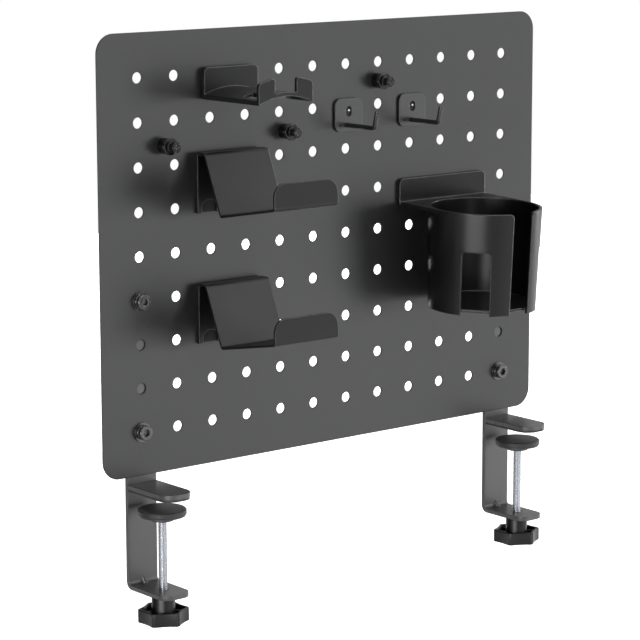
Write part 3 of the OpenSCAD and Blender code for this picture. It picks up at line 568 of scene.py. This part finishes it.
@dataclass
class Board:
    """The perforated sheet with its corner fastenings on both sides."""

    head_d: float = 13.0 * MM
    head_h: float = 5.6 * MM
    head_soft: float = 1.0 * MM
    socket: float = 6.0 * MM
    socket_depth: float = 3.2 * MM
    shank_d: float = 7.8 * MM
    washer_t: float = 1.4 * MM
    board_t: float = 1.2 * MM
    strap_t: float = 4.0 * MM
    nut_af: float = 13.0 * MM
    nut_h: float = 6.5 * MM
    end: float = 1.5 * MM
    ribs: int = 36
    rib_depth: float = 0.16 * MM
    ribs_from: float = 1.5 * MM
    ribs_below_top: float = 1.1 * MM
    collar: Steps = ((-0.3 * MM, 0.0), (0.0, 0.4 * MM), (0.0, 1.0 * MM), (-0.25 * MM, 1.3 * MM))
    socket_chamfer: float = 0.35 * MM
    socket_chamfer_h: float = 0.3 * MM
    socket_tip_r: float = 0.4 * MM
    socket_tip_h: float = 0.6 * MM
    pitch: float = 1.0 * MM
    thread_depth: float = 0.5 * MM
    thread_overlap: float = 0.2 * MM
    nut_chamfer: float = 0.5 * MM
    nut_round: float = 0.97

    def build(self) -> None:
        """Dresses the sheet, and builds the bolts and the nuts."""
        dress(POWDER_COAT, "pegboard_panel")
        for side in Side:
            self.bolts(side)
            self.nuts(side)
            dress(BLACK_STEEL, f"{side.value}_washers")

    def heights(self, side: Side) -> list[float]:
        """Heights of the two bolts, from the box of both."""
        low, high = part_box(f"{side.value}_bolts")
        return [low[2] + self.head_d / 2, high[2] - self.head_d / 2]

    def bolts(self, side: Side) -> None:
        """Builds the two socket cap bolts: a ribbed head with a collar, a socket and a threaded shank."""
        form = Form()
        x = middle_of(f"{side.value}_bolts")[0]
        seat = self.board_t + self.washer_t
        top, r, shank_r = seat + self.head_h, self.head_d / 2, self.shank_d / 2
        floor = top - self.socket_depth
        foot = -self.strap_t - self.nut_h - self.end

        def ribbed(a: float) -> float:
            """Radius of the head's ribbed side."""
            return r - self.rib_depth * (0.5 - 0.5 * math.cos(self.ribs * a))

        rings = [(shank_r, seat), *stepped(self.collar, r, seat),
                 (ribbed, seat + self.ribs_from), (ribbed, top - self.ribs_below_top)]
        soft = self.head_soft
        rings += [(r - soft + soft * math.cos(a), top - soft + soft * math.sin(a))
                  for a in (math.radians(18 * k) for k in range(6))]
        rings += [(self.socket / 2 / math.cos(math.radians(30)) + self.socket_chamfer, top),
                  (hexagon(self.socket), top - self.socket_chamfer_h), (hexagon(self.socket), floor),
                  (self.socket_tip_r, floor - self.socket_tip_h)]
        for z in self.heights(side):
            form.place = upright(x, z)
            form.turned(rings, sides=4 * self.ribs)
            form.thread(shank_r, shank_r - self.thread_depth, self.pitch, foot,
                        seat + self.thread_overlap, sides=24)
        name = f"{side.value}_socket_bolts"
        settle(form.piece(name), BLACK_STEEL, "board", f"{side.value}_bolts")

    def nuts(self, side: Side) -> None:
        """Builds the two hex nuts with chamfered corners."""
        form = Form()
        x = middle_of(f"{side.value}_nuts")[0]
        flat = hexagon(self.nut_af)
        round_r = self.nut_af / 2 * self.nut_round
        high = -self.strap_t
        low = high - self.nut_h
        bore, mouth = self.shank_d / 2, self.shank_d / 2 + self.nut_chamfer

        def chamfer(a: float) -> float:
            """How far the chamfer comes down at angle a."""
            return (flat(a) - round_r) * math.tan(math.radians(30))

        def under(a: float) -> float:
            """Height of the chamfer's edge at the free side."""
            return low + chamfer(a)

        def over(a: float) -> float:
            """Height of the chamfer's edge at the strap's side."""
            return low + self.nut_h - chamfer(a)

        for z in self.heights(side):
            form.place = upright(x, z)
            form.turned([(bore, low + self.nut_chamfer), (mouth, low), (round_r, low), (flat, under),
                         (flat, over), (round_r, high), (mouth, high), (bore, high - self.nut_chamfer)],
                        sides=96, ends=False, ring=True)
        settle(form.piece(f"{side.value}_hex_nuts"), BLACK_STEEL, "board", f"{side.value}_nuts")


@dataclass
class Clamp:
    """One desk clamp: strap, jaws, threaded rod, swivel pad and knob."""

    side: Side
    rod_d: float = 7.6 * MM
    rod_pitch: float = 1.25 * MM
    rivet_d: float = 11.0 * MM
    rivet_t: float = 1.5 * MM
    knob_d: float = 44.0 * MM
    knob_h: float = 11.8 * MM
    knob_flat: float = 2.6 * MM
    knob_dish: float = 1.0 * MM
    knob_rim: float = 2.6 * MM
    knob_floor: float = 4.5 * MM
    neck_d: float = 20.5 * MM
    well_d: float = 14.4 * MM
    well_h: float = 4.0 * MM
    web_w: float = 1.6 * MM
    web_in: float = 0.5 * MM
    web_gap: float = 0.2 * MM
    web_down: float = 2.25 * MM
    web_taper: float = 0.15 * MM
    thread_depth: float = 0.62 * MM
    rivet_soft: Steps = ((0.0, -0.4 * MM), (-0.6 * MM, 0.0))
    rim_soft: float = 0.9 * MM
    rim_inside: Steps = ((0.4 * MM, -0.05 * MM), (0.0, -0.5 * MM))
    rim_draft: float = 0.3 * MM
    neck_sunk: float = 0.3 * MM
    neck_foot: Steps = ((0.9 * MM, 0.0), (0.9 * MM, 0.4 * MM), (0.3 * MM, 0.7 * MM), (0.0, 1.3 * MM))
    neck_end: Steps = ((-0.15 * MM, -0.9 * MM), (-0.4 * MM, -0.3 * MM), (-0.9 * MM, 0.0))
    corners: int = 6
    side_steps: int = 8

    def build(self) -> None:
        """Dresses the clamp's steel and rubber, and builds its rod and its knob."""
        s = self.side.value
        dress(LIGHTENED_CLAMP_COAT, f"{s}_bracket", f"{s}_jaw")
        dress(RUBBER, f"{s}_jaw_liner", f"{s}_pad_rubber")
        dress(PAD_STEEL, f"{s}_pad_disc", f"{s}_bush")
        self.rod()
        self.knob()

    def axis(self) -> Matrix:
        """Place of the screw's axis at the desk top's height."""
        at = middle_of(f"{self.side.value}_clamp_screw")
        return Matrix.Translation((at[0], at[1], 0))

    def rod(self) -> None:
        """Builds the threaded rod, with its riveted head under the pad's rubber."""
        low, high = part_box(f"{self.side.value}_clamp_screw")
        form = Form(self.axis())
        r = self.rod_d / 2
        neck, rivet_r = high[2] - self.rivet_t, self.rivet_d / 2
        form.thread(r, r - self.thread_depth, self.rod_pitch, low[2], neck, sides=28)
        form.turned([(rivet_r, neck), *stepped(self.rivet_soft, rivet_r, high[2])], sides=48)
        settle(form.piece(f"{self.side.value}_threaded_rod", sharp=50), ZINC, f"{self.side.value}_screw",
               f"{self.side.value}_clamp_screw")

    def outline(self, r: float, z: float) -> Loop:
        """The knob's six-cornered outline at height z, with narrow flats on its corners and hollow sides."""
        loop: Loop = []
        half = math.asin(self.knob_flat / (2 * r))
        for k in range(self.corners):
            start = math.radians(60 * k - 90) + half
            end = math.radians(60 * k - 30) - half
            a, b = (Vector((math.cos(turn), math.sin(turn))) * r for turn in (start, end))
            middle = (a + b).normalized()
            for step in range(self.side_steps + 1):
                share = step / self.side_steps
                at = a + (b - a) * share - middle * self.knob_dish * 4 * share * (1 - share)
                loop.append((at[0], at[1], z))
        return loop

    def knob(self) -> None:
        """Builds the knob: a dished six-sided rim round a deep recess, six webs and a neck."""
        low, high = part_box(f"{self.side.value}_knob")
        under, neck_top = low[2], high[2]
        top, r, inner = under + self.knob_h, self.knob_d / 2, self.knob_d / 2 - self.knob_rim
        form = Form(self.axis())
        soft = self.rim_soft
        rise = [math.radians(22.5 * k) for k in range(5)]
        loops = [self.outline(r - soft * (1 - math.sin(a)), under + soft * (1 - math.cos(a))) for a in rise]
        loops += [self.outline(r - soft * (1 - math.cos(a)), top - soft * (1 - math.sin(a))) for a in rise]
        loops += [self.outline(rim_r, z) for rim_r, z in stepped(self.rim_inside, inner, top)]
        loops += [self.outline(inner - self.rim_draft, under + self.knob_floor)]
        form.loft(loops)
        neck, well = self.neck_d / 2, self.well_d / 2
        base = under + self.knob_floor - self.neck_sunk
        rod, well_z = self.rod_d / 2, neck_top - self.well_h
        form.turned([(rod, base), *stepped(self.neck_foot, neck, base),
                     *stepped(self.neck_end, neck, neck_top),
                     (well, neck_top), (well, well_z), (rod, well_z)], sides=64, ends=False, ring=True)
        for k in range(self.corners):
            form.place = self.axis() @ Matrix.Rotation(math.radians(60 * k + 30), 4, "Z")
            form.block((neck - self.web_in, -self.web_w / 2, base),
                       (inner - self.web_gap, self.web_w / 2, top - self.web_down), self.web_taper)
        settle(form.piece(f"{self.side.value}_six_sided_knob", sharp=38), KNOB_PLASTIC,
               f"{self.side.value}_screw", f"{self.side.value}_knob")


@dataclass
class Hook:
    """One wire hook on its magnetic plate."""

    side: Side
    wire_d: float = 4.2 * MM
    wire_up: float = 5.8 * MM
    aside: float = 1.6 * MM
    reach: float = 37.0 * MM
    end: float = 16.0 * MM
    lean: float = 15.0
    bend_r: float = 4.0 * MM
    hole_down: float = 11.6 * MM
    plate_t: float = 1.4 * MM
    rivet_d: float = 2.6 * MM
    rivet_h: float = 0.9 * MM
    rivet_aside: float = 1.0 * MM
    rivet_up: float = 0.8 * MM
    rivet_rim: float = 0.2 * MM
    rivet_foot: float = 0.8
    bend_steps: int = 10
    tip_steps: int = 6
    tip_least: float = 0.02 * MM

    def build(self) -> None:
        """Dresses the plate and its magnet, and builds the wire and the rivet in the punched hole."""
        s = self.side.value
        dress(HOOK_COAT, f"{s}_hook_plate")
        dress(MAGNET, f"{s}_hook_magnet")
        self.wire()
        self.rivet()

    def wire(self) -> None:
        """Builds the bent wire, through the plate and up to its round tip."""
        s = self.side.value
        low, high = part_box(f"{s}_hook_plate")
        x = (low[0] + high[0]) / 2 - self.aside
        z = low[2] + self.wire_up
        front, r = low[1], self.wire_d / 2
        turn = math.radians(90 - self.lean)
        bend_reach = self.bend_r * math.tan(turn / 2)
        corner = front - self.reach
        centre = Vector((x, corner + bend_reach, z + self.bend_r))
        path = [Vector((x, high[1], z)), Vector((x, front, z)), Vector((x, (front + corner) / 2, z))]
        path += [centre + self.bend_r * Vector((0, -math.sin(a), -math.cos(a)))
                 for a in (turn * k / self.bend_steps for k in range(self.bend_steps + 1))]
        way = Vector((0, -math.cos(turn), math.sin(turn)))
        tip = path[-1] + way * (self.end - bend_reach - r)
        path.append(tip)
        radii = [r] * len(path)
        for k in range(1, self.tip_steps + 1):
            a = math.radians(90 * k / self.tip_steps)
            path.append(tip + way * r * math.sin(a))
            radii.append(max(r * math.cos(a), self.tip_least))
        form = Form()
        form.tube(path, radii, sides=28)
        settle(form.piece(f"{s}_bent_wire", sharp=40), WIRE_COAT, f"{s}_hook", f"{s}_hook_wire")

    def rivet(self) -> None:
        """Builds the small domed rivet that holds the magnet, inside the plate's punched hole."""
        s = self.side.value
        low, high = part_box(f"{s}_hook_plate")
        r = self.rivet_d / 2
        x, z = (low[0] + high[0]) / 2 + self.rivet_aside, high[2] - self.hole_down + self.rivet_up
        form = Form(upright(x, z, low[1] + self.plate_t))
        dome = [(r * math.cos(a), self.rivet_rim + self.rivet_h * math.sin(a))
                for a in (math.radians(15 * k) for k in range(6))]
        form.turned([(r * self.rivet_foot, 0.0), (r, 0.0), *dome], sides=40)
        settle(form.piece(f"{s}_hook_rivet", sharp=50), ZINC, f"{s}_hook")


@dataclass
class Accessories:
    """The cup holder, the tilted holders, the headphone hanger and the push pins."""

    cup: str = "cup_holder"
    holders: tuple[str, ...] = ("upper_holder", "lower_holder")
    hanger: str = "hanger"
    pins: tuple[str, ...] = ("left_pin", "middle_pin", "right_pin")

    def build(self) -> None:
        """Dresses the accessories and their magnets."""
        dress(CUP_PLASTIC, self.cup)
        dress(HOLDER_COAT, *self.holders)
        dress(HANGER_PLASTIC, self.hanger)
        dress(MAGNET, *(f"{name}_magnet" for name in (self.cup, *self.holders, self.hanger)))
        dress(PIN_PLASTIC, *self.pins)
        dress(DISC_MAGNET, *(f"{name}_magnet" for name in self.pins))


# ---------------------------------------------------------------- stage, light and camera


@dataclass(frozen=True)
class Lamp:
    """A soft rectangular lamp that faces the object's middle.

    Its azimuth is in degrees to the right of straight ahead of the board's face, its height is its
    elevation in degrees, its distance far and its size are in metres, and its power is in watts.
    """

    name: str
    azimuth: float
    height: float
    far: float
    size: tuple[float, float]
    watts: float
    reach: Reach


# The key is low in front on the right, a wide gloss is on the left, and the rest are weak.
LAMPS = (
    Lamp("key_softbox", 37, -1, 12.0, (3.6, 2.4), 1340, Reach.COLOUR),
    Lamp("side_softbox", 92, 2, 4.0, (1.8, 1.8), 20, Reach.COLOUR),
    Lamp("side_strip", 88, 0, 3.0, (0.4, 1.8), 14, Reach.GLOSS),
    Lamp("left_softbox", -59, -8, 2.2, (1.5, 1.3), 38, Reach.GLOSS),
    Lamp("left_glint", -72, 42, 2.5, (0.15, 0.4), 12, Reach.GLOSS),
    Lamp("panel_gloss", 42, 24, 3.0, (1.0, 0.8), 8, Reach.GLOSS),
    Lamp("back_softbox", 150, 18, 4.0, (1.6, 1.2), 120, Reach.COLOUR),
    Lamp("top_softbox", 10, 84, 2.4, (1.2, 1.2), 18, Reach.COLOUR),
    Lamp("top_gloss", 10, 80, 2.4, (2.0, 1.6), 30, Reach.GLOSS),
)


@dataclass
class Studio:
    """The floor, the white surround, the soft lights and the camera."""

    floor_z: float = -0.30
    floor_t: float = 0.02
    floor_grey: float = 0.9
    eye: Point = (-1.46729, -1.78107, 0.54002)
    ahead: Point = (0.62309382, 0.76175655, -0.177429)
    right: Point = (0.77378992, -0.63343864, -0.00215475)
    up: Point = (0.11403178, 0.13595016, 0.98413124)
    lens: float = 145.85
    sensor: float = 36.0
    clip: tuple[float, float] = (0.05, 50.0)
    aim: Point = (0, 0, 0.17)
    fill: float = 0.06
    bright_azimuth: float = 30.0
    bright: float = 0.90
    dim: float = 0.52
    bright_span: tuple[float, float] = (0.70, 0.97)
    overhead: float = 0.35
    overhead_span: tuple[float, float] = (0.4, 0.8)
    floor_half: float = 3.0
    floor_seen: tuple[float, float] = (0.86, 0.98)
    floor_seen_span: tuple[float, float] = (0.5, 1.8)
    floor_mirrored: tuple[float, float] = (0.12, 1.1)
    floor_mirrored_span: tuple[float, float] = (0.5, 1.0)
    card_turn: float = 40.0
    card_far: float = 1.6
    card_w: float = 2.2
    card_top: float = 1.9
    card_t: float = 0.01
    card_grey: float = 0.01

    def build(self) -> None:
        """Makes the camera first, then the surround, the floor and the lights."""
        self.camera()
        self.surround()
        self.floor()
        self.card()
        self.lights()

    def camera(self) -> None:
        """Puts the camera at the photograph's viewpoint."""
        data = bpy.data.cameras.new("camera")
        data.lens, data.sensor_width = self.lens, self.sensor
        data.clip_start, data.clip_end = self.clip
        item = bpy.data.objects.new("camera", data)
        bpy.context.scene.collection.objects.link(item)
        turn = Matrix((self.right, self.up, tuple(-c for c in self.ahead))).transposed().to_4x4()
        item.matrix_world = Matrix.Translation(self.eye) @ turn
        bpy.context.scene.camera = item

    def front_glow(self, n: Nodes, way: bpy.types.NodeSocket) -> bpy.types.NodeSocket:
        """How bright the surround mirrors in a direction: white in front on the right, dim elsewhere.

        Args:
            n: the tree that it is for.
            way: the direction, of length 1.

        Returns:
            The strength.
        """
        a = math.radians(self.bright_azimuth)
        ahead = (math.sin(a), -math.cos(a), 0)
        return n.ramp(n.dot(way, ahead), self.dim, self.bright, self.bright_span)

    def surround(self) -> None:
        """Makes the world: white to the eye, a wide white panel in reflections, and a soft fill otherwise."""
        world = bpy.data.worlds.new("white_studio")
        bpy.context.scene.world = world
        n = Nodes(world)
        path = n.add("LightPath").outputs
        mirrored = n.maths("MAXIMUM", path["Is Glossy Ray"], path["Is Transmission Ray"])
        way = n.add("TexCoord").outputs["Generated"]
        rise = n.add("SeparateXYZ", {"Vector": way}).outputs["Z"]
        above = n.ramp(rise, 0.0, self.overhead, self.overhead_span)
        strength = n.maths("ADD", self.front_glow(n, way), above)
        seen = n.add("Mix", {"Factor": path["Is Camera Ray"], "A": strength}, B=1.0)
        soft = n.add("Background", Color=WHITE, Strength=self.fill)
        white = n.add("Background", {"Strength": seen.outputs[0]}, Color=WHITE)
        mix = n.shade(n.maths("MAXIMUM", path["Is Camera Ray"], mirrored), soft, white)
        n.add("OutputWorld", {"Surface": mix.outputs[0]})

    def floor(self) -> None:
        """Lays a pale floor under the object, which keeps the object's soft shadow. It glows though it is no
        lamp: white to the eye, a little dimmer near the middle, and in reflections dim near the middle and
        brighter further out on the front right.
        """
        form = Form()
        half = self.floor_half
        form.block((-half, -half, self.floor_z - self.floor_t), (half, half, self.floor_z))
        plate = form.piece("floor")
        made = bpy.data.materials.new("pale_floor")
        n = Nodes(made)
        away = n.add("VectorMath", {"Vector": n.coords()}, operation="LENGTH").outputs["Value"]
        way = n.add("VectorMath", {"Vector": n.coords()}, operation="NORMALIZE").outputs[0]
        mirrored = n.maths("MULTIPLY", self.front_glow(n, way),
                           n.ramp(away, *self.floor_mirrored, self.floor_mirrored_span))
        path = n.add("LightPath").outputs
        looked_at = n.ramp(away, *self.floor_seen, self.floor_seen_span)
        strength = n.add("Mix", {"Factor": path["Is Glossy Ray"], "A": looked_at, "B": mirrored})
        glow = n.add("Emission", {"Strength": strength.outputs[0]}, Color=WHITE)
        direct = n.maths("MAXIMUM", path["Is Camera Ray"], path["Is Glossy Ray"])
        seen = n.maths("MAXIMUM", direct, path["Is Transmission Ray"])
        diffuse = n.add("BsdfDiffuse", Color=(*[self.floor_grey] * 3, 1))
        both = n.add("AddShader")
        n.tree.links.new(diffuse.outputs[0], both.inputs[0])
        n.tree.links.new(glow.outputs[0], both.inputs[1])
        n.add("OutputMaterial", {"Surface": n.shade(seen, diffuse, both).outputs[0]})
        plate.data.materials.append(made)

    def card(self) -> None:
        """Stands a black card behind the object on the left, which darkens what its left sides mirror."""
        form = Form(Matrix.Rotation(math.radians(self.card_turn), 4, "Z"))
        form.block((-self.card_w / 2, self.card_far, self.floor_z),
                   (self.card_w / 2, self.card_far + self.card_t, self.card_top))
        sheet = form.piece("black_card")
        made = bpy.data.materials.new("black_card")
        n = Nodes(made)
        black = n.add("BsdfDiffuse", Color=(*[self.card_grey] * 3, 1))
        n.add("OutputMaterial", {"Surface": black.outputs[0]})
        sheet.data.materials.append(made)
        sheet.visible_camera = False

    def lights(self) -> None:
        """Hangs the lamps."""
        for lamp in LAMPS:
            data = bpy.data.lights.new(lamp.name, "AREA")
            data.shape, data.energy = "RECTANGLE", lamp.watts
            data.size, data.size_y = lamp.size
            item = bpy.data.objects.new(lamp.name, data)
            bpy.context.scene.collection.objects.link(item)
            item.visible_glossy = lamp.reach is Reach.GLOSS
            item.visible_diffuse = lamp.reach is Reach.COLOUR
            item.visible_camera = False
            a, e = math.radians(lamp.azimuth), math.radians(lamp.height)
            out = Vector((math.sin(a) * math.cos(e), -math.cos(a) * math.cos(e), math.sin(e)))
            item.location = Vector(self.aim) + out * lamp.far
            item.rotation_mode = "QUATERNION"
            item.rotation_quaternion = (-out).to_track_quat("-Z", "Y")


def main() -> None:
    """Builds the studio and the object's sub-assemblies in order."""
    logging.basicConfig(level=logging.INFO, format="%(name)s: %(message)s")
    bpy.context.scene.view_settings.view_transform = "Standard"
    Studio().build()
    Board().build()
    for side in Side:
        Clamp(side).build()
        Hook(side).build()
    Accessories().build()


if __name__ == "__main__":
    main()
